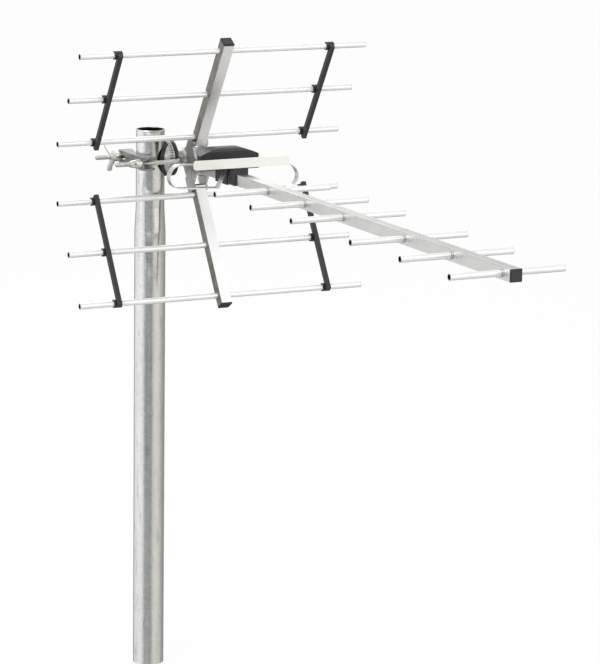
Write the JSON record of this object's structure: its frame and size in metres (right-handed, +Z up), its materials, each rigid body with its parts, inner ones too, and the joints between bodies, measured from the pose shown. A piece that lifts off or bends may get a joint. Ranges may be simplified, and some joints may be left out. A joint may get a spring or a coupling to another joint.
{
  "type": "outdoor tv antenna",
  "caption": "Long-boom UHF television aerial with directors, a folded dipole and a corner reflector, held by a tilting U-bolt clamp on a swaged steel mast.",
  "frame": {"origin": "centre of the foot of the mast, where the mast is held", "axes": "+Z up the axis of the mast; X along the rods and directors; the boom points to -Y"},
  "size_m": [0.415, 0.9314, 0.8819],
  "materials": {
    "mast_steel": "hot-dip galvanised, softly mottled",
    "zinc_bright": "bright zinc plate",
    "cast_metal": "matte die-cast grey",
    "tube_aluminium": "satin drawn tube",
    "bright_aluminium": "bright rolled",
    "cream_aluminium": "pale satin",
    "black_plastic": "fine satin moulding",
    "board_green": "solder mask"
  },
  "bodies": {
    "mast": {"mast": "mast_steel"},
    "clamp": {"clamp_jaw": "cast_metal", "u_bolt": "zinc_bright", "mast_pad": "black_plastic", "saddle_disc": "cast_metal", "bolt_retainer": "black_plastic"},
    "rear_washer": {"rear_washer": "zinc_bright"},
    "rear_nut": {"rear_wing_nut": "zinc_bright"},
    "front_washer": {"front_washer": "zinc_bright"},
    "front_nut": {"front_wing_nut": "zinc_bright"},
    "antenna": {"hub_bracket": "cast_metal", "boom": "tube_aluminium", "boom_front_cap": "black_plastic", "boom_screw": "black_plastic", "boom_nut": "zinc_bright", "upper_arm": "bright_aluminium", "lower_arm": "bright_aluminium", "upper_arm_cap": "black_plastic", "lower_arm_cap": "black_plastic", "arm_screws": "zinc_bright", "reflector_rod_1": "tube_aluminium", "reflector_rod_2": "tube_aluminium", "reflector_rod_3": "tube_aluminium", "reflector_rod_4": "tube_aluminium", "reflector_rod_5": "tube_aluminium", "reflector_rod_6": "tube_aluminium", "spacer_upper_left": "black_plastic", "spacer_upper_right": "black_plastic", "spacer_lower_left": "black_plastic", "spacer_lower_right": "black_plastic", "director_1": "tube_aluminium", "director_2": "tube_aluminium", "director_3": "tube_aluminium", "director_4": "tube_aluminium", "director_5": "tube_aluminium", "director_6": "tube_aluminium", "dipole_loop": "tube_aluminium", "front_bar": "cream_aluminium", "bar_screw": "zinc_bright", "box_base": "black_plastic", "box_lid": "black_plastic", "lid_screws": "zinc_bright", "balun_board": "board_green", "balun_can": "zinc_bright", "f_connector": "zinc_bright"}
  },
  "joints": [
    {"name": "aim", "type": "hinge", "parent": "mast", "child": "clamp", "pos_m": [0, 0, 0.708], "axis": [0, 0, 1], "continuous": true},
    {"name": "tilt", "type": "hinge", "parent": "clamp", "child": "antenna", "pos_m": [0, 0, 0.708], "axis": [1, 0, 0], "range_deg": [-8, 6]},
    {"name": "rear_washer_slide", "type": "slide", "parent": "clamp", "child": "rear_washer", "axis": [-1, 0, 0], "range_m": [0, 0.0201]},
    {"name": "rear_nut_turn", "type": "hinge", "parent": "rear_washer", "child": "rear_nut", "pos_m": [-0.031, 0.0345, 0.708], "axis": [-1, 0, 0], "range_deg": [0, 7200]},
    {"name": "front_washer_slide", "type": "slide", "parent": "clamp", "child": "front_washer", "axis": [-1, 0, 0], "range_m": [0, 0.0201]},
    {"name": "front_nut_turn", "type": "hinge", "parent": "front_washer", "child": "front_nut", "pos_m": [-0.031, -0.0345, 0.708], "axis": [-1, 0, 0], "range_deg": [0, 7200]}
  ],
  "couplings": [
    {"joint": "rear_washer_slide", "follows": "rear_nut_turn", "m_per_rad": 0.00015915},
    {"joint": "front_washer_slide", "follows": "front_nut_turn", "m_per_rad": 0.00015915}
  ]
}
